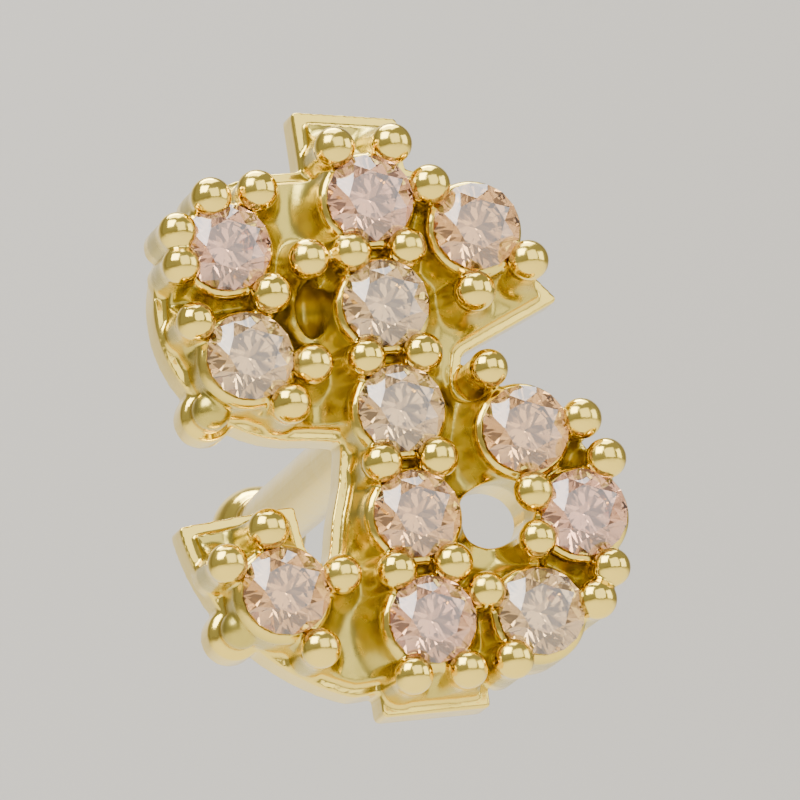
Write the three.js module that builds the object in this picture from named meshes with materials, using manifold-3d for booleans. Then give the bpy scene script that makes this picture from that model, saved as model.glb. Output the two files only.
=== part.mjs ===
// A nose stud: a dollar-sign head, cast in one piece and set with twelve round stones,
// on a straight post that is soldered to its back and ends in a small ball.
// Millimetres. +Z runs up the sign, the stones face -Y and the post runs along +Y.
// The origin is on the post's axis, in the head's flat back.
import * as THREE from 'three';
import { ConvexGeometry } from 'three/addons/geometries/ConvexGeometry.js';
import { mergeVertices } from 'three/addons/utils/BufferGeometryUtils.js';
import Module from 'manifold-3d';

const wasm = await Module();
wasm.setup();

// ---------------------------------------------------------------- driving dimensions
// Heights are measured from the head's back towards the stones.
const stone = {
  radius: 0.525,        // a 1.05 mm round brilliant
  girdle: 0.03,         // thickness of its edge
  tableRadius: 0.3,
  crown: 0.165,         // girdle to table
  pavilion: 0.45,       // girdle to the point underneath
  seat: 1.2,            // height of the girdle's lower edge
  starHeight: 0.55,     // where the crown's upper facets end, as a share of the crown
  halfLength: 0.78,     // where the lower facets end, as a share of the pavilion
  sides: 16,
  clearance: 0.02,      // between a stone and the metal
};
const head = {
  rail: 0.5,            // the solid frame at the back, which shows as a ledge
  floor: 0.7,           // the metal between the beads
  collar: 1.1,          // the ring that carries each stone
  ledge: 0.15,          // how far the floor stays inside the rail
  collarRadius: 0.6,
  holeRadius: 0.24,     // the open hole behind each stone
};
const bead = { radius: 0.24, shoulder: 1.27, top: 1.49, foot: 0.3, sides: 10 };
const ear = { radius: 0.33, top: 0.95 };     // a low lug where the S turns, with a short bead on it
const post = { radius: 0.4, length: 6.5, ballRadius: 0.6, solderRadius: 0.58, solder: 0.18, sides: 16 };
const arcSteps = 10;
const shortestEdge = 0.005;   // the slivers that the cuts leave are closed up below this
const barPitch = 1.27;    // between the five stones of the upright bar
const barBead = 0.34;     // from the bar's middle to its beads
const barCorners = [[-0.58, -3.52], [0.74, -3.54], [0.66, 3.62], [-0.62, 3.82]];
const barRounding = 0.14;

// the S: four arcs, each with its middle, its radius and where it starts and ends in degrees
const upperArm = { x: 0.2, z: 1.2, radius: 1.86, from: 12, to: 84 };
const upperBowl = { x: -1.0, z: 1.48, radius: 1.62, from: 90, to: 270 };
const lowerArm = { x: 0, z: -0.68, radius: 2.72, from: 187, to: 251 };
const lowerBowl = { x: 0.92, z: -1.46, radius: 1.7, from: -95, to: 90 };
// the open gap between the upper bowl, the bar and the lower arm's end
const gapCorners = [
  [-0.6, -0.2], [-0.7, -0.7], [-0.84, -1.1], [-0.94, -1.55], [-1.07, -1.7], [-1.22, -1.42], [-1.28, -0.9],
];
// the notch between the lower bowl and the upper arm, and the corner where that arm is cut off
const notchTip = [1.02, 0.7];
const armCorner = [2.3, 1.24];
// the counters inside the two bowls: the upper one is a pit with a floor, the lower one is open
const counters = [
  { x: -0.76, z: 1.38, halfWidth: 0.17, halfHeight: 0.33, bottom: 0.25 },
  { x: 1.05, z: -1.29, halfWidth: 0.42, halfHeight: 0.38, bottom: -0.1 },
];

// The stones off the bar, with the beads round each one: a bead's direction from the stone's
// middle in degrees, anticlockwise from +X, and its distance from there.
const bowlStones = [
  { name: 'stone_upper_terminal', x: 1.24, z: 2.08, beads: [[133, 0.74], [-41, 0.74], [259, 0.8]] },
  { name: 'stone_upper_bowl_1', x: -1.8, z: 2.12,
    beads: [[54, 0.78], [101, 0.62], [158, 0.62], [196, 0.62], [-54, 0.76]] },
  { name: 'stone_upper_bowl_2', x: -1.72, z: 0.8,
    beads: [[141, 0.76], [-57, 0.74], [-13, 0.74]] },
  { name: 'stone_lower_bowl_1', x: 1.46, z: -0.4, beads: [[114, 0.84], [4, 0.7], [-92, 0.76]] },
  { name: 'stone_lower_bowl_2', x: 2.02, z: -1.46, beads: [[61, 0.7], [-72, 0.72], [204, 0.68]] },
  { name: 'stone_lower_bowl_3', x: 1.32, z: -2.58, beads: [[5, 0.69], [231, 0.67], [153, 0.7]] },
  { name: 'stone_lower_terminal', x: -1.7, z: -2.02,
    beads: [[150, 0.76], [-66, 0.78], [99, 0.76], [10, 0.7]] },
];
const fillerBeads = [[-0.84, 1.88]];                       // on the floor beside the bar
const ears = [[-2.14, 0.3], [-2.19, -2.32]];
const barNames = ['stone_bar_bottom', 'stone_bar_lower', 'stone_bar_centre', 'stone_bar_upper', 'stone_bar_top'];

// ---------------------------------------------------------------- solids
const radians = THREE.MathUtils.degToRad;

// A closed three.js geometry as a solid: shared corners merged, empty triangles dropped.
function solidOf(geometry) {
  geometry.deleteAttribute('normal');
  geometry.deleteAttribute('uv');
  const merged = mergeVertices(geometry, 1e-4);
  const index = merged.index.array;
  const triangles = [];
  for (let i = 0; i < index.length; i += 3) {
    const [a, b, c] = [index[i], index[i + 1], index[i + 2]];
    if (a !== b && b !== c && c !== a) triangles.push(a, b, c);
  }
  return new wasm.Manifold(new wasm.Mesh({
    numProp: 3,
    vertProperties: new Float32Array(merged.attributes.position.array),
    triVerts: new Uint32Array(triangles),
  }));
}

function geometryOf(solid) {
  const mesh = solid.getMesh();
  const geometry = new THREE.BufferGeometry();
  geometry.setAttribute('position', new THREE.BufferAttribute(new Float32Array(mesh.vertProperties), 3));
  geometry.setIndex(new THREE.BufferAttribute(new Uint32Array(mesh.triVerts), 1));
  geometry.computeVertexNormals();
  return geometry;
}

// An outline in X and Z, as thick as the head between two heights.
function slab(outline, low, high) {
  const geometry = new THREE.ExtrudeGeometry(outline, {
    depth: high - low, bevelEnabled: false, curveSegments: arcSteps,
  });
  geometry.translate(0, 0, low);
  geometry.rotateX(Math.PI / 2);
  return solidOf(geometry);
}

// A profile of radius and height turned round an axis through x, z.
function turned(profile, sides, x, z) {
  const geometry = new THREE.LatheGeometry(profile.map(([r, h]) => new THREE.Vector2(r, h)), sides);
  geometry.rotateX(Math.PI);
  geometry.translate(x, 0, z);
  return solidOf(geometry);
}

const ring = (count, radius, height, turn) => Array.from({ length: count }, (_, i) => {
  const angle = (i + turn) * 2 * Math.PI / count;
  return new THREE.Vector3(radius * Math.cos(angle), -height, radius * Math.sin(angle));
});

// ---------------------------------------------------------------- stones
// A round brilliant, as the hull of its corners: the table, the eight corners half way down the
// crown, the girdle, the eight corners low on the pavilion and the point. The middle corners lie
// on the main facets on both sides, so each kite-shaped facet is flat.
function brilliant() {
  const turn = Math.cos(Math.PI / 8);
  const top = stone.seat + stone.girdle;
  const crownOut = stone.radius - stone.starHeight * (stone.radius - stone.tableRadius);
  const pavilionOut = stone.radius * (1 - stone.halfLength);
  return new ConvexGeometry([
    ...ring(8, stone.tableRadius, top + stone.crown, 0),
    ...ring(8, crownOut / turn, top + stone.starHeight * stone.crown, 0.5),
    ...ring(stone.sides, stone.radius, top, 0),
    ...ring(stone.sides, stone.radius, stone.seat, 0),
    ...ring(8, pavilionOut / turn, stone.seat - stone.halfLength * stone.pavilion, 0.5),
    new THREE.Vector3(0, -(stone.seat - stone.pavilion), 0),
  ]);
}

// What is cut from the metal for one stone: its own form with clearance, and the hole behind it.
function seatCut(x, z, holeFloor) {
  const gap = stone.clearance;
  const top = stone.seat + stone.girdle;
  const wide = stone.radius + gap;
  const slope = stone.pavilion / stone.radius;
  const throat = stone.seat - gap - (wide - head.holeRadius) * slope;
  return turned([
    [0, holeFloor], [head.holeRadius, holeFloor], [head.holeRadius, throat],
    [wide, stone.seat - gap], [wide, top + gap / 2],
    [stone.tableRadius + gap, top + stone.crown + 2 * gap], [0, top + stone.crown + 2 * gap],
  ], stone.sides, x, z);
}

// ---------------------------------------------------------------- setting
function letterOutline() {
  const outline = new THREE.Shape();
  const arc = (a) => outline.absarc(a.x, a.z, a.radius, radians(a.from), radians(a.to));
  arc(upperArm);
  arc(upperBowl);
  gapCorners.forEach(([x, z]) => outline.lineTo(x, z));
  arc(lowerArm);
  arc(lowerBowl);
  outline.lineTo(...notchTip);
  outline.lineTo(...armCorner);
  return outline;
}

// A straight-sided outline whose corners are rounded.
function roundedOutline(corners, rounding) {
  const points = corners.map(([x, z]) => new THREE.Vector2(x, z));
  const outline = new THREE.Shape();
  points.forEach((corner, i) => {
    const towards = (other) => other.clone().sub(corner).setLength(rounding).add(corner);
    const start = towards(points.at(i - 1));
    const end = towards(points[(i + 1) % points.length]);
    if (i === 0) outline.moveTo(start.x, start.y);
    else outline.lineTo(start.x, start.y);
    outline.quadraticCurveTo(corner.x, corner.y, end.x, end.y);
  });
  return outline;
}

// How far a point lies from the stretch between two others.
function distanceToEdge(point, start, end) {
  const edge = end.clone().sub(start);
  const along = THREE.MathUtils.clamp(point.clone().sub(start).dot(edge) / edge.lengthSq(), 0, 1);
  return point.distanceTo(start.clone().addScaledVector(edge, along));
}

// The outline moved inwards: each corner slides along the mitre of its two edges, and the ones
// that then lie too near another edge, beside a sharp corner, are dropped.
function insetOutline(outline, distance) {
  const corners = outline.getPoints(arcSteps)
    .filter((p, i, all) => p.distanceTo(all[(i + 1) % all.length]) > 1e-3);
  const next = (i) => corners[(i + 1) % corners.length];
  const moved = corners.map((p, i) => {
    const before = corners[(i + corners.length - 1) % corners.length];
    const after = next(i);
    const inOne = new THREE.Vector2(before.y - p.y, p.x - before.x).normalize();
    const inTwo = new THREE.Vector2(p.y - after.y, after.x - p.x).normalize();
    const mitre = inOne.clone().add(inTwo).divideScalar(1 + inOne.dot(inTwo));
    return p.clone().addScaledVector(mitre, distance);
  });
  return new THREE.Shape(moved.filter((p) => (
    corners.every((start, i) => distanceToEdge(p, start, next(i)) > 0.99 * distance)
  )));
}

function counterOutline({ x, z, halfWidth, halfHeight }) {
  return new THREE.Shape().absellipse(x, z, halfWidth, halfHeight, 0, 2 * Math.PI);
}

function beadColumn([x, z], top) {
  const rise = bead.top - bead.shoulder;
  const dome = [0, 45].map((degrees) => [
    bead.radius * Math.cos(radians(degrees)), top - rise + rise * Math.sin(radians(degrees)),
  ]);
  return turned([[0, bead.foot], [bead.radius, bead.foot], ...dome, [0, top]], bead.sides, x, z);
}

// The post and its solder run behind the back, so their heights are negative.
function postSolid() {
  const neck = post.length - Math.sqrt(post.ballRadius ** 2 - post.radius ** 2);
  const ball = [-35, 0, 30, 60].map((degrees) => [
    post.ballRadius * Math.cos(radians(degrees)), -(post.length + post.ballRadius * Math.sin(radians(degrees))),
  ]);
  return turned([
    [0, -(post.length + post.ballRadius)], ...ball.reverse(), [post.radius, -neck],
    [post.radius, -post.solder], [post.solderRadius, 0], [post.solderRadius, head.rail / 2], [0, head.rail / 2],
  ], post.sides, 0, 0);
}

const stones = [
  ...barNames.map((name, i) => ({ name, x: 0, z: (i - 2) * barPitch, beads: [] })),
  ...bowlStones,
];

function beadPlaces() {
  const places = [...fillerBeads];
  for (const side of [-1, 1]) {
    for (let i = -2.5; i <= 2.5; i += 1) places.push([side * barBead, i * barPitch]);
  }
  for (const { x, z, beads } of bowlStones) {
    for (const [direction, distance] of beads) {
      const angle = radians(direction);
      places.push([x + distance * Math.cos(angle), z + distance * Math.sin(angle)]);
    }
  }
  return places;
}

function settingSolid() {
  const union = (solids) => wasm.Manifold.union(solids);
  const disc = (x, z, radius, top) => turned([
    [0, 0], [radius, 0], [radius, top], [0, top],
  ], stone.sides, x, z);
  const outlines = [letterOutline(), roundedOutline(barCorners, barRounding)];
  const body = union([
    ...outlines.map((outline) => slab(outline, 0, head.rail)),
    ...outlines.map((outline) => slab(insetOutline(outline, head.ledge), head.rail / 2, head.floor)),
    ...stones.map(({ x, z }) => disc(x, z, head.collarRadius, head.collar)),
    ...ears.map(([x, z]) => disc(x, z, ear.radius, head.rail)),
  ]);
  const openings = union(counters.map((counter) => slab(counterOutline(counter), counter.bottom, bead.top)));
  const columns = union([
    ...beadPlaces().map((place) => beadColumn(place, bead.top)),
    ...ears.map((place) => beadColumn(place, ear.top)),
  ]);
  const seats = union(stones.map(({ x, z }) => {
    const behindPost = x === 0 && z === 0;
    return seatCut(x, z, behindPost ? head.rail : -0.1);
  }));
  return body.subtract(openings).add(columns).add(postSolid()).subtract(seats)
    .asOriginal()
    .simplify(shortestEdge);
}

// ---------------------------------------------------------------- the stud
const gold = new THREE.MeshStandardMaterial({ color: 0xd8bd63, metalness: 1, roughness: 0.2 });
const crystal = new THREE.MeshStandardMaterial({ color: 0xc9b7bb, metalness: 0, roughness: 0.05 });

const stud = new THREE.Group();
stud.name = 'dollar_sign_nose_stud';

const setting = new THREE.Mesh(geometryOf(settingSolid()), gold);
setting.name = 'setting_with_post';
stud.add(setting);

for (const { name, x, z } of stones) {
  const gem = new THREE.Mesh(brilliant(), crystal);
  gem.name = name;
  gem.position.set(x, 0, z);
  stud.add(gem);
}

export default stud;
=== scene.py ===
# A nose stud with a dollar-sign head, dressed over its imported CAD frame.
# The head is a casting in gold-plated brass with twelve round cubic zirconia stones.
import math

import bmesh
import bpy
import numpy as np
from mathutils import Matrix, Vector


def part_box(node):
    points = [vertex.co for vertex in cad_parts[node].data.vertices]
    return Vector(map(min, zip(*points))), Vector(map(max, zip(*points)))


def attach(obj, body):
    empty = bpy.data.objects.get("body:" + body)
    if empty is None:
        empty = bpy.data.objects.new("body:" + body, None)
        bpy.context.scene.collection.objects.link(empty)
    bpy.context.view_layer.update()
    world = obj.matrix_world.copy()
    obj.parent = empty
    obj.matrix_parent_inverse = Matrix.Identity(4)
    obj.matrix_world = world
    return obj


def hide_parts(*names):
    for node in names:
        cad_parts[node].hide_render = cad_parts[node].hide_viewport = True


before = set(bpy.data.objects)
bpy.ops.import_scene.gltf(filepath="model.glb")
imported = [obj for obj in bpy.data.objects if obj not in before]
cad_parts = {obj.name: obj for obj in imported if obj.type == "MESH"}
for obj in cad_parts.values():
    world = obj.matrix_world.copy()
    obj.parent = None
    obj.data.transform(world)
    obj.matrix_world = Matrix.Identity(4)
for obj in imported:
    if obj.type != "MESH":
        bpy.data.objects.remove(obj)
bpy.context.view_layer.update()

mm = 0.001
scene = bpy.context.scene
print("frame loaded with", len(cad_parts), "nodes")

# ---- small helpers


# sRGB hex to linear light: each channel is undone by the standard curve
def hexColour(text, alpha=1.0):
    channels = [int(text[i:i + 2], 16) / 255 for i in (1, 3, 5)]
    linear = [c / 12.92 if c <= 0.04045 else ((c + 0.055) / 1.055) ** 2.4 for c in channels]
    return (*linear, alpha)


# what goes into a socket: another socket is linked to it, anything else becomes its value
def feed(tree, socket, value):
    if isinstance(value, bpy.types.NodeSocket):
        tree.links.new(value, socket)
    else:
        socket.default_value = value


# one node with its settings, and its inputs by name
def addNode(tree, kind, settings=None, **inputs):
    node = tree.nodes.new(kind)
    for name, value in (settings or {}).items():
        setattr(node, name, value)
    for name, value in inputs.items():
        feed(tree, node.inputs[name.replace("_", " ")], value)
    return node


# a math or vector math node, whose inputs share one name, so they come in order
def addMath(tree, kind, operation, *values):
    node = addNode(tree, kind, {"operation": operation})
    for socket, value in zip(node.inputs, values):
        feed(tree, socket, value)
    return node


# a value that runs from 0 to 1, or between two other results, while the input runs between two limits
def addRamp(tree, value, limits, results=(0.0, 1.0)):
    ramp = addNode(tree, "ShaderNodeMapRange", Value=value, From_Min=limits[0], From_Max=limits[1],
                   To_Min=results[0], To_Max=results[1])
    return ramp.outputs["Result"]


def addColourMix(tree, factor, first, second):
    mix = addNode(tree, "ShaderNodeMix", {"data_type": "RGBA"}, Factor=factor)
    mix.inputs[6].default_value = hexColour(first)
    mix.inputs[7].default_value = hexColour(second)
    return mix.outputs[2]


def newMaterial(name):
    material = bpy.data.materials.new(name)
    material.use_nodes = True
    material.node_tree.nodes.clear()
    return material


def linkedObject(name, mesh):
    piece = bpy.data.objects.new(name, mesh)
    scene.collection.objects.link(piece)
    return piece


# several meshes put side by side in one
def mergedMesh(name, meshes):
    sheet = bmesh.new()
    for mesh in meshes:
        sheet.from_mesh(mesh)
    whole = bpy.data.meshes.new(name)
    sheet.to_mesh(whole)
    sheet.free()
    return whole


# several closed surfaces, each its points and its faces, as one mesh
def joinedMesh(name, surfaces):
    points, faces, start = [], [], 0
    for surfacePoints, surfaceFaces in surfaces:
        points.append(surfacePoints)
        faces += [[start + corner for corner in face] for face in surfaceFaces]
        start += len(surfacePoints)
    mesh = bpy.data.meshes.new(name)
    mesh.from_pydata(np.vstack(points).tolist(), [], faces)
    return mesh


def addRemesh(piece, voxel):
    remesh = piece.modifiers.new("Remesh", "REMESH")
    remesh.mode = "VOXEL"
    remesh.voxel_size = voxel


def addBoolean(piece, operation, other):
    boolean = piece.modifiers.new("Boolean", "BOOLEAN")
    boolean.operation = operation
    boolean.solver = "MANIFOLD"
    boolean.object = other


# the piece's modifiers worked out and put into its mesh
def applyModifiers(piece):
    evaluated = piece.evaluated_get(bpy.context.evaluated_depsgraph_get())
    mesh = bpy.data.meshes.new_from_object(evaluated)
    piece.modifiers.clear()
    piece.data = mesh


# ---- gold setting: everything in millimetres, heights from the head's back towards the stones

stoneNodes = sorted(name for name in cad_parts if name.startswith("stone_"))
stonePlaces = {}
for name in stoneNodes:
    low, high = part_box(name)
    stonePlaces[name] = ((low.x + high.x) / 2 / mm, (low.z + high.z) / 2 / mm)
stoneLow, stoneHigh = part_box(stoneNodes[0])
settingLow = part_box("setting_with_post")[0]

goldSetting = {
    "rail": 0.5,              # thickness of the frame at the back
    "floor": 0.6,             # the lowest metal between the beads
    "ledge": 0.15,            # how far the floor stays inside the rail
    "collar": 1.1,            # the ring that carries a stone
    "collarRadius": 0.6,
    "collarRim": [(0, 0.1), (0.03, 0.03), (0.08, 0)],     # its rounded edge: inwards and down
    "holeRadius": 0.24,       # the open hole behind a stone
    "seatGap": 0.012,         # between a stone and the metal
    "overlap": 0.1,           # how far joined and cut forms run past each other
    "beadRadius": 0.25,
    "beadSpread": (0.94, 1.02),   # the smallest and the largest bead, as shares of that radius
    "beadSink": 0.04,         # how much lower a bead may end
    "beadShift": 0.012,       # how far a bead may stand from its place
    "beadRise": 0.92,         # its dome's height, as a share of its radius
    "neckRadius": 0.22,       # a prong is a little thinner below its bead
    "neckEnd": 0.16,          # where it starts to widen, below the bead's widest part
    "neckTurn": 0.07,         # where it is half way from the neck's width to the bead's
    "beadTop": -settingLow.y / mm,
    "beadFoot": 0.3,
    "collarFlare": 0.3,       # how far the metal slopes out at a collar's foot
    "beadFlare": 0.2,
    "earRadius": 0.33,
    "earDome": (-0.1, 0.05),  # where a lug's domed top starts and ends, from the frame's front
    "earTop": 0.95,
    "outlineStep": 0.025,
    "cornerWindow": 5,        # steps that are averaged, which rounds the outline's corners
    "voxel": 0.02,
    "smoothing": 10,
    "triangles": 190000,
    "barBead": 0.34,          # from the bar's middle to its beads
    "barPitch": 1.27,         # between the bar's stones
    "seed": 12,
}
goldPost = {
    "radius": 0.4,
    "length": 6.5,            # from the head's back to the ball's middle
    "ballRadius": 0.6,
    "solderRadius": 0.62,
    "solder": 0.2,            # how far the solder climbs the post
}
# the room for a stone
stoneCut = {
    "pavilion": 0.45,         # from the girdle to the point
    "girdle": 0.04,           # the girdle's thickness and its clearance
    "tableRadius": 0.3,
    "headroom": 0.3,          # how far the cut goes on above the table
}

# each arc: its middle x and z, its radius, and where it starts and ends in degrees
upperArm = (0.2, 1.2, 1.86, 12, 84)
upperBowl = (-1.0, 1.48, 1.62, 90, 270)
lowerArm = (0.0, -0.68, 2.72, 187, 251)
lowerBowl = (0.92, -1.46, 1.7, -95, 90)
gapCorners = [(-0.6, -0.2), (-0.7, -0.7), (-0.84, -1.1), (-0.94, -1.55), (-1.07, -1.7), (-1.22, -1.42),
              (-1.28, -0.9)]
notchCorners = [(1.02, 0.7), (2.3, 1.24)]
barCorners = [(-0.58, -3.52), (0.74, -3.54), (0.66, 3.62), (-0.62, 3.82)]
earPlaces = [(-2.14, 0.3), (-2.19, -2.32)]
# the counters inside the bowls: middle x and z, half width and half height, then the heights of the
# bottom and of the foot of the upright wall; the first is a round-bottomed pit, the second is open
counters = [(-0.76, 1.38, 0.17, 0.33, 0.2, 0.5), (1.05, -1.29, 0.42, 0.38, -0.1, -0.1)]
# beads round the stones off the bar: direction in degrees and distance from the stone's middle
bowlBeads = {
    "stone_upper_terminal": [(133, 0.74), (-41, 0.74), (259, 0.8)],
    "stone_upper_bowl_1": [(54, 0.78), (101, 0.62), (158, 0.62), (196, 0.62), (-54, 0.76)],
    "stone_upper_bowl_2": [(141, 0.76), (-57, 0.74), (-13, 0.74)],
    "stone_lower_bowl_1": [(114, 0.84), (4, 0.7), (-92, 0.76)],
    "stone_lower_bowl_2": [(61, 0.7), (-72, 0.72), (204, 0.68)],
    "stone_lower_bowl_3": [(5, 0.69), (231, 0.67), (153, 0.7)],
    "stone_lower_terminal": [(150, 0.76), (-66, 0.78), (99, 0.76), (10, 0.7)],
}
fillerBeads = [(-0.84, 1.88)]


# an arc's points: middle plus radius times cosine and sine of the angle
def arcPoints(x, z, radius, start, end):
    angles = np.radians(np.linspace(start, end, 90))
    return np.column_stack([x + radius * np.cos(angles), z + radius * np.sin(angles)])


# a closed outline drawn again in even steps, each point then the mean of its neighbours
def evenOutline(points):
    closed = np.vstack([points, points[:1]])
    along = np.concatenate([[0], np.cumsum(np.hypot(*np.diff(closed, axis=0).T))])
    count = round(along[-1] / goldSetting["outlineStep"])
    places = np.linspace(0, along[-1], count, endpoint=False)
    even = np.column_stack([np.interp(places, along, closed[:, axis]) for axis in (0, 1)])
    reach = goldSetting["cornerWindow"] // 2
    return np.mean([np.roll(even, shift, axis=0) for shift in range(-reach, reach + 1)], axis=0)


# the outline moved inwards along its normals; points that come too near another stretch are left out
def insetOutline(outline, inset):
    tangent = np.roll(outline, -1, axis=0) - np.roll(outline, 1, axis=0)
    normal = np.column_stack([-tangent[:, 1], tangent[:, 0]])
    moved = outline + inset * normal / np.hypot(*normal.T)[:, None]
    nearest = np.min(np.hypot(*(moved[:, None] - outline[None]).transpose(2, 0, 1)), axis=1)
    return moved[nearest > 0.97 * inset]


# two rings of the outline, at the low and the high height, with walls and ends
def slab(outline, low, high):
    count = len(outline)
    rings = [np.column_stack([outline[:, 0], np.full(count, -height), outline[:, 1]])
             for height in (low, high)]
    here = np.arange(count)
    after = np.roll(here, -1)
    walls = np.column_stack([here, after, after + count, here + count]).tolist()
    return np.vstack(rings), walls + [here[::-1].tolist(), (here + count).tolist()]


# a profile of radius and height turned round an axis through x and z; its ends lie on the axis
def turnedProfile(profile, x, z, sides=48):
    radii, heights = np.array(profile, float).T
    angles = np.linspace(0, 2 * np.pi, sides, endpoint=False)
    rings = len(radii) - 2
    points = np.stack([
        x + np.outer(radii[1:-1], np.cos(angles)),
        -np.repeat(heights[1:-1, None], sides, axis=1),
        z + np.outer(radii[1:-1], np.sin(angles)),
    ], axis=-1).reshape(-1, 3)
    poles = np.array([[x, -heights[0], z], [x, -heights[-1], z]])
    i, j = np.arange(sides), np.roll(np.arange(sides), -1)
    faces = []
    for level in range(rings - 1):
        here, above = level * sides, (level + 1) * sides
        faces += np.column_stack([i + here, j + here, j + above, i + above]).tolist()
    first, last, top = rings * sides, rings * sides + 1, (rings - 1) * sides
    faces += np.column_stack([j, i, np.full(sides, first)]).tolist()
    faces += np.column_stack([i + top, j + top, np.full(sides, last)]).tolist()
    return np.vstack([points, poles]), faces


# quarter circle from the rim to the axis: radius times cosine, height times sine
def dome(radius, shoulder, top, steps=8):
    angles = np.linspace(0, np.pi / 2, steps + 1)
    return list(zip(radius * np.cos(angles), shoulder + (top - shoulder) * np.sin(angles)))


def letterOutline():
    arcs = [arcPoints(*upperArm), arcPoints(*upperBowl), gapCorners,
            arcPoints(*lowerArm), arcPoints(*lowerBowl), notchCorners]
    return evenOutline(np.vstack(arcs))


def beadPlaces():
    places = list(fillerBeads)
    for side in (-1, 1):
        places += [(side * goldSetting["barBead"], row * goldSetting["barPitch"])
                   for row in np.arange(-2.5, 3)]
    for name, beads in bowlBeads.items():
        x, z = stonePlaces[name]
        places += [(x + far * math.cos(math.radians(turn)), z + far * math.sin(math.radians(turn)))
                   for turn, far in beads]
    return places


# a prong: a column, a slightly wider bead and its dome; hand work makes no two the same
def prong(x, z, top, draw):
    sizes = goldSetting
    neck, foot, shift = sizes["neckRadius"], sizes["beadFoot"], sizes["beadShift"]
    radius = sizes["beadRadius"] * draw.uniform(*sizes["beadSpread"])
    top -= draw.uniform(0, sizes["beadSink"])
    shoulder = top - sizes["beadRise"] * radius
    x += draw.uniform(-shift, shift)
    z += draw.uniform(-shift, shift)
    profile = [(0, foot), (neck, foot), (neck, shoulder - sizes["neckEnd"]),
               (0.5 * (neck + radius), shoulder - sizes["neckTurn"])]
    return turnedProfile(profile + dome(radius, shoulder, top), x, z)


# the post: its solder in a hollow quarter turn, then straight to the ball that ends it
def goldPostSurface():
    sizes = goldPost
    solder = [(sizes["radius"] + (sizes["solderRadius"] - sizes["radius"]) * (1 - math.sin(t)),
               -sizes["solder"] * (1 - math.cos(t))) for t in np.linspace(0, math.pi / 2, 9)]
    ballStart = -math.acos(sizes["radius"] / sizes["ballRadius"])
    ball = [(sizes["ballRadius"] * math.cos(t), -sizes["length"] - sizes["ballRadius"] * math.sin(t))
            for t in np.linspace(ballStart, math.pi / 2, 16)]
    inside = goldSetting["rail"] / 2
    profile = [(0, inside), (sizes["solderRadius"], inside)] + solder + ball
    return turnedProfile(profile[::-1], 0, 0, sides=64)


# metal that runs up to a round foot: out by one less the sine, up by one less the cosine
def flare(x, z, radius, top, reach):
    turns = np.linspace(0, np.pi / 2, 10)
    floor = goldSetting["floor"]
    slope = list(zip(radius + reach * (1 - np.sin(turns)), floor + (top - floor) * (1 - np.cos(turns))))
    low = floor - goldSetting["overlap"]
    return turnedProfile([(0, low), (radius + reach, low)] + slope + [(0, top)], x, z)


# the metal between the beads: low in the middle, with slopes to every collar and prong
def goldFloorMesh():
    sizes = goldSetting
    outlines = [letterOutline(), evenOutline(np.array(barCorners))]
    inside = [insetOutline(outline, sizes["ledge"]) for outline in outlines]
    low = sizes["rail"] / 2
    surfaces = [slab(outline, low, sizes["floor"]) for outline in inside]
    rimFoot = sizes["collar"] - sizes["collarRim"][0][1]
    surfaces += [flare(x, z, sizes["collarRadius"], rimFoot, sizes["collarFlare"])
                 for x, z in stonePlaces.values()]
    surfaces += [flare(x, z, sizes["neckRadius"], sizes["collar"], sizes["beadFlare"])
                 for x, z in beadPlaces()]
    piece = linkedObject("gold_floor", joinedMesh("gold_floor", surfaces))
    limit = linkedObject("gold_limit", joinedMesh("gold_limit", [
        slab(edge, low, sizes["beadTop"]) for edge in inside]))
    addRemesh(limit, sizes["voxel"])
    addRemesh(piece, sizes["voxel"])
    addBoolean(piece, "INTERSECT", limit)
    applyModifiers(piece)
    mesh = piece.data
    bpy.data.objects.remove(piece)
    bpy.data.objects.remove(limit)
    return mesh


# the frame, the collars, the lugs, the prongs and the post
def goldSolidSurfaces():
    sizes, draw = goldSetting, np.random.default_rng(goldSetting["seed"])
    rail, low = sizes["rail"], sizes["rail"] / 2
    surfaces = [slab(outline, 0, rail) for outline in (letterOutline(), evenOutline(np.array(barCorners)))]
    for x, z in stonePlaces.values():
        r, top = sizes["collarRadius"], sizes["collar"]
        rim = [(r - inwards, top - down) for inwards, down in sizes["collarRim"]]
        surfaces.append(turnedProfile([(0, low), (r, low), *rim, (0, top)], x, z))
    for x, z in earPlaces:
        r, (start, end) = sizes["earRadius"], sizes["earDome"]
        surfaces.append(turnedProfile([(0, 0), (r, 0)] + dome(r, rail + start, rail + end), x, z))
        surfaces.append(prong(x, z, sizes["earTop"], draw))
    for x, z in beadPlaces():
        surfaces.append(prong(x, z, sizes["beadTop"], draw))
    surfaces.append(goldPostSurface())
    return surfaces


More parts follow.
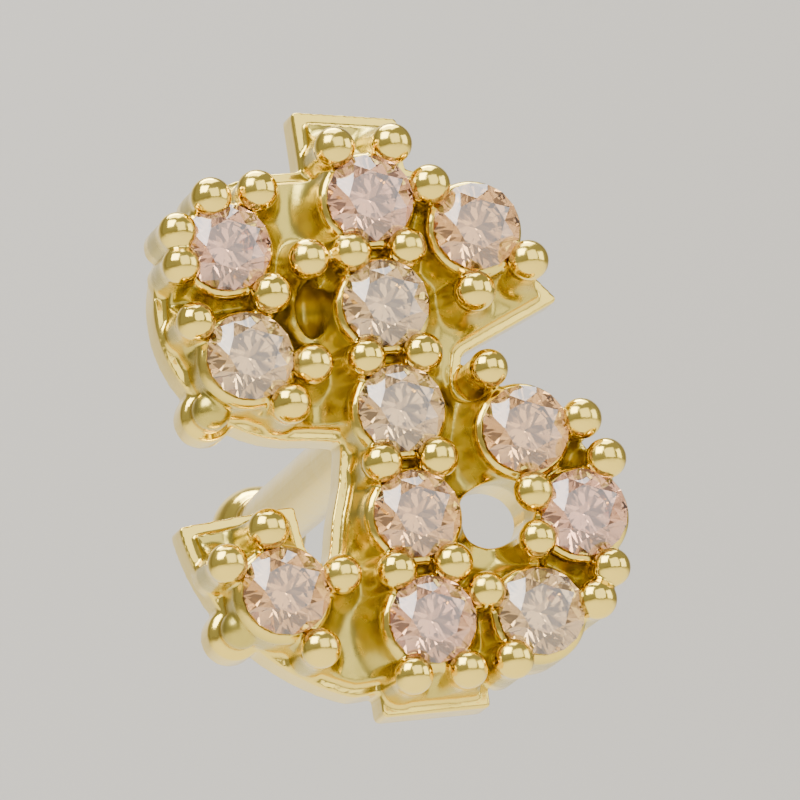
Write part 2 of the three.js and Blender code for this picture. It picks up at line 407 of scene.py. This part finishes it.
# the room for each stone, its own form and a little clearance, with the hole behind it, which the
# post closes behind the middle stone; then the counters
def goldCutSurfaces():
    sizes, pavilion = goldSetting, stoneCut["pavilion"]
    gap, hole = sizes["seatGap"], sizes["holeRadius"]
    radius = (stoneHigh.x - stoneLow.x) / 2 / mm + gap
    table, point = -stoneLow.y / mm, -stoneHigh.y / mm
    seat = point + pavilion
    throat = seat - gap - (radius - hole) * pavilion / (radius - gap)
    tableEdge, headroom = stoneCut["tableRadius"] + gap, table + stoneCut["headroom"]
    cuts = []
    for x, z in stonePlaces.values():
        floor = sizes["rail"] if math.hypot(x, z) < 0.01 else -sizes["overlap"]
        cuts.append(turnedProfile([
            (0, floor), (hole, floor), (hole, throat), (radius, seat - gap),
            (radius, seat + stoneCut["girdle"]), (tableEdge, table + gap), (tableEdge, headroom),
            (0, headroom)], x, z, sides=64))
    above = sizes["collar"] + sizes["overlap"]
    for x, z, halfWidth, halfHeight, bottom, foot in counters:
        points, faces = turnedProfile(dome(1, foot, bottom)[::-1] + [(1, above), (0, above)], 0, 0)
        cuts.append((points * [halfWidth, 1, halfHeight] + [x, 0, z], faces))
    return cuts


# floor and solids fused by one remesh, cut, fused again, softened and thinned out
def makeGoldSetting():
    sizes = goldSetting
    solids = mergedMesh("gold_setting", [goldFloorMesh(), joinedMesh("gold_solids", goldSolidSurfaces())])
    piece = linkedObject("gold_setting", solids)
    cutter = linkedObject("gold_cutter", joinedMesh("gold_cutter", goldCutSurfaces()))
    addRemesh(piece, sizes["voxel"])
    addBoolean(piece, "DIFFERENCE", cutter)
    applyModifiers(piece)
    print("gold cut:", len(piece.data.polygons), "faces")
    addRemesh(piece, sizes["voxel"])
    soft = piece.modifiers.new("Polish", "SMOOTH")
    soft.factor = 0.5
    soft.iterations = sizes["smoothing"]
    applyModifiers(piece)
    print("gold fused:", len(piece.data.polygons), "faces")
    thin = piece.modifiers.new("Thin", "DECIMATE")
    thin.ratio = sizes["triangles"] / (2 * len(piece.data.polygons))
    applyModifiers(piece)
    bpy.data.objects.remove(cutter)
    piece.data.transform(Matrix.Scale(mm, 4))
    piece.data.materials.clear()
    piece.data.polygons.foreach_set("use_smooth", [True] * len(piece.data.polygons))
    print("gold setting:", len(piece.data.polygons), "triangles")
    return piece


# ---- materials


# lengths in millimetres; Y runs from 0 at the head's back to about -1.5 at the tops of the beads
goldLook = {
    "bright": "#f8da66",            # the tops, the frame, the back and the post
    # painted shade: the next colour darkens the low metal between the prongs, and the pit
    "shadedRecess": "#c8b456",              # the low metal between the prongs, and the pit
    "shadeTop": (-0.95, -1.1),       # Y where it is still full, and where it is gone
    "shadeFoot": (-0.5, -0.6),       # Y where it starts, and where it is full
    "pitShadeFoot": (-0.05, -0.12),      # the same in the pit
    "pitShadeEdge": (0.46, 0.38),        # distance from the pit's middle where it starts, and is full
    "polish": (0.08, 0.2),          # roughness where the metal is smoothest and where it is dullest
    "dullness": 0.14,               # added to that in the low metal
    "waves": 0.4,                   # size of the uneven places
    "grain": 0.06,                  # size of the casting's grain
    "grainShare": 0.15,
    "bump": 0.02,
    "bumpStrength": 0.5,
}


# gold plate over cast brass: the tops and the frame are polished bright; the low metal between the
# prongs, which no wheel reaches, is duller, and its darker colour is painted shade of the recesses
def goldPlate():
    look = goldLook
    material = newMaterial("Gold plated brass, polished")
    tree = material.node_tree
    place = addNode(tree, "ShaderNodeTexCoord").outputs["Object"]
    depth = addNode(tree, "ShaderNodeSeparateXYZ", Vector=place).outputs["Y"]
    above = addRamp(tree, depth, [limit * mm for limit in look["shadeTop"]], (1.0, 0.0))
    below = addRamp(tree, depth, [limit * mm for limit in look["shadeFoot"]])
    low = addMath(tree, "ShaderNodeMath", "MULTIPLY", above, below).outputs[0]
    flatPlace = addMath(tree, "ShaderNodeVectorMath", "MULTIPLY", place, (1.0, 0.0, 1.0))
    pitMiddle = (counters[0][0] * mm, 0.0, counters[0][1] * mm)
    fromPit = addMath(tree, "ShaderNodeVectorMath", "DISTANCE", flatPlace.outputs["Vector"], pitMiddle)
    pit = addRamp(tree, fromPit.outputs["Value"], [limit * mm for limit in look["pitShadeEdge"]])
    inside = addRamp(tree, depth, [limit * mm for limit in look["pitShadeFoot"]])
    pitWall = addMath(tree, "ShaderNodeMath", "MULTIPLY", pit, inside).outputs[0]
    pitShade = addMath(tree, "ShaderNodeMath", "MULTIPLY", pitWall, above).outputs[0]
    # painted shade: the mask of the low metal and the pit, which darkens their colour and also makes them
    # duller
    shadedRecess = addMath(tree, "ShaderNodeMath", "MAXIMUM", low, pitShade).outputs[0]
    waves = addNode(tree, "ShaderNodeTexNoise", Vector=place, Scale=1 / (look["waves"] * mm), Detail=3.0)
    grain = addNode(tree, "ShaderNodeTexNoise", Vector=place, Scale=1 / (look["grain"] * mm), Detail=2.0)
    polish = addRamp(tree, waves.outputs["Fac"], (0.3, 0.7), look["polish"])
    roughness = addMath(tree, "ShaderNodeMath", "MULTIPLY_ADD", shadedRecess, look["dullness"], polish)
    height = addMath(tree, "ShaderNodeMath", "MULTIPLY_ADD", grain.outputs["Fac"], look["grainShare"],
                     waves.outputs["Fac"])
    bump = addNode(tree, "ShaderNodeBump", Height=height.outputs[0], Distance=look["bump"] * mm,
                   Strength=look["bumpStrength"])
    shader = addNode(tree, "ShaderNodeBsdfPrincipled", Metallic=1.0, Roughness=roughness.outputs[0],
                     Base_Color=addColourMix(tree, shadedRecess, look["bright"], look["shadedRecess"]),
                     Normal=bump.outputs["Normal"])
    addNode(tree, "ShaderNodeOutputMaterial", Surface=shader.outputs["BSDF"])
    return material


stoneLook = {
    # each tint is partly the stone's own colour and partly painted reflection of the gold around it
    "tints": [                      # name, tint and the tint of its cloudy places
        ("Cubic zirconia, lilac with painted gold reflection", "#e2a28e", "#eeb878"),
        ("Cubic zirconia, grey with painted gold reflection", "#dcb484", "#e8bc74"),
        ("Cubic zirconia, champagne with painted gold reflection", "#ecb064", "#e4ae78"),
    ],
    "clouds": 0.5,                  # their size in millimetres
    "roughness": 0.03,
    "refraction": 2.16,
    "clearness": 0.95,
}


# round cubic zirconia, faceted and polished: very bright, with a faint cloudy tint inside; its warm tint
# is partly its own colour and partly painted reflection of the gold
def cubicZirconia(name, tintAndGoldReflection, cloud):
    look = stoneLook
    material = newMaterial(name)
    tree = material.node_tree
    place = addNode(tree, "ShaderNodeTexCoord").outputs["Object"]
    clouds = addNode(tree, "ShaderNodeTexNoise", Vector=place, Scale=1 / (look["clouds"] * mm),
                     Detail=1.0)
    shader = addNode(tree, "ShaderNodeBsdfPrincipled", Roughness=look["roughness"],
                     Base_Color=addColourMix(tree, clouds.outputs["Fac"], tintAndGoldReflection, cloud),
                     IOR=look["refraction"], Transmission_Weight=look["clearness"])
    addNode(tree, "ShaderNodeOutputMaterial", Surface=shader.outputs["BSDF"])
    return material


# ---- the stud

setting = makeGoldSetting()
setting.data.materials.append(goldPlate())
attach(setting, "root")
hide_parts("setting_with_post")

stoneMaterials = [cubicZirconia(*tints) for tints in stoneLook["tints"]]
for index, name in enumerate(stoneNodes):
    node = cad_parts[name]
    node.data.materials.clear()
    node.data.materials.append(stoneMaterials[index % len(stoneMaterials)])
print("stones dressed:", len(stoneNodes))

# ---- stage, light and camera

# metres, with the head's back at Y = 0 and its middle at the origin
stage = {
    "floor": -0.045,
    "front": -3.0,
    "back": 0.6,
    "top": 1.2,                     # the upright back's height
    "width": 2.0,                   # to either side
    "bend": 0.15,
    "paper": "#dcd8d0",
    "paperRoughness": 0.8,
    "surroundings": "#dcdad6",
    "surroundingsGlow": 0.55,
}


# a sweep: flat floor, quarter-circle bend and upright back, the same section across its width
def sweepMesh():
    turn = np.radians(np.linspace(0, 90, 24))
    depth = np.concatenate([[stage["front"]], stage["back"] - stage["bend"] + stage["bend"] * np.sin(turn),
                            [stage["back"]]])
    height = np.concatenate([[0], stage["bend"] * (1 - np.cos(turn)), [stage["top"]]]) + stage["floor"]
    left = np.column_stack([np.full(len(depth), -stage["width"]), depth, height])
    points = np.vstack([left, left * [-1, 1, 1]])
    i = np.arange(len(depth) - 1)
    faces = np.column_stack([i, i + len(depth), i + len(depth) + 1, i + 1])
    mesh = bpy.data.meshes.new("sweep")
    mesh.from_pydata(points.tolist(), [], faces.tolist())
    mesh.polygons.foreach_set("use_smooth", [True] * len(faces))
    return mesh


def paper():
    material = newMaterial("Paper sweep, pale")
    tree = material.node_tree
    shader = addNode(tree, "ShaderNodeBsdfPrincipled", Base_Color=hexColour(stage["paper"]),
                     Roughness=stage["paperRoughness"])
    addNode(tree, "ShaderNodeOutputMaterial", Surface=shader.outputs["BSDF"])
    return material


sweep = linkedObject("sweep", sweepMesh())
sweep.data.materials.append(paper())

# softboxes: where each stands and what it faces in metres, its width, and its glow in watts per
# square metre and steradian
softboxes = {
    "front": {"place": (0.07, -0.26, 0.1), "aim": (0, 0, 0), "size": 0.24, "glow": 2.0},
    "key": {"place": (-0.11, -0.11, 0.15), "aim": (0, 0, 0), "size": 0.14, "glow": 10.0},
    "fill": {"place": (0.18, -0.08, 0.04), "aim": (0, 0, 0), "size": 0.12, "glow": 3.0},
    "top": {"place": (0.02, 0.03, 0.2), "aim": (0, 0, 0), "size": 0.16, "glow": 6.0},
    "wall": {"place": (0.0, 0.2, 0.45), "aim": (0.05, 0.6, 0.05), "size": 0.3, "glow": 12.0},
}
for name, box in softboxes.items():
    light = bpy.data.lights.new(name, "AREA")
    light.shape = "SQUARE"
    light.size = box["size"]
    light.energy = box["glow"] * math.pi * box["size"] ** 2
    lamp = bpy.data.objects.new(name, light)
    lamp.location = box["place"]
    facing = Vector(box["aim"]) - Vector(box["place"])
    lamp.rotation_euler = facing.to_track_quat("-Z", "Y").to_euler()
    lamp.visible_camera = False
    scene.collection.objects.link(lamp)

world = bpy.data.worlds.new("studio")
world.use_nodes = True
background = world.node_tree.nodes["Background"]
background.inputs["Color"].default_value = hexColour(stage["surroundings"])
background.inputs["Strength"].default_value = stage["surroundingsGlow"]
scene.world = world

# a long lens, a little left of and below the head's face, with the camera turned about its own axis
view = {
    "azimuth": -15,
    "elevation": -10,
    "turn": 8.5,
    "distance": 0.12,
    "frame": 0.0094,                # width of what it sees at that distance
    "middle": (0.0, -0.0012, 0.0001),
    "nearest": 0.005,
}


def makeCamera():
    turn, rise = math.radians(view["azimuth"]), math.radians(view["elevation"])
    back = Vector((math.sin(turn) * math.cos(rise), -math.cos(turn) * math.cos(rise), math.sin(rise)))
    camera = bpy.data.cameras.new("camera")
    camera.lens = camera.sensor_width * view["distance"] / view["frame"]
    camera.clip_start = view["nearest"]
    eye = bpy.data.objects.new("camera", camera)
    upright = back.to_track_quat("Z", "Y").to_matrix().to_4x4()
    rolled = upright @ Matrix.Rotation(-math.radians(view["turn"]), 4, "Z")
    eye.matrix_world = Matrix.Translation(Vector(view["middle"]) + back * view["distance"]) @ rolled
    scene.collection.objects.link(eye)
    scene.camera = eye


makeCamera()
print("stage, lights and camera placed")
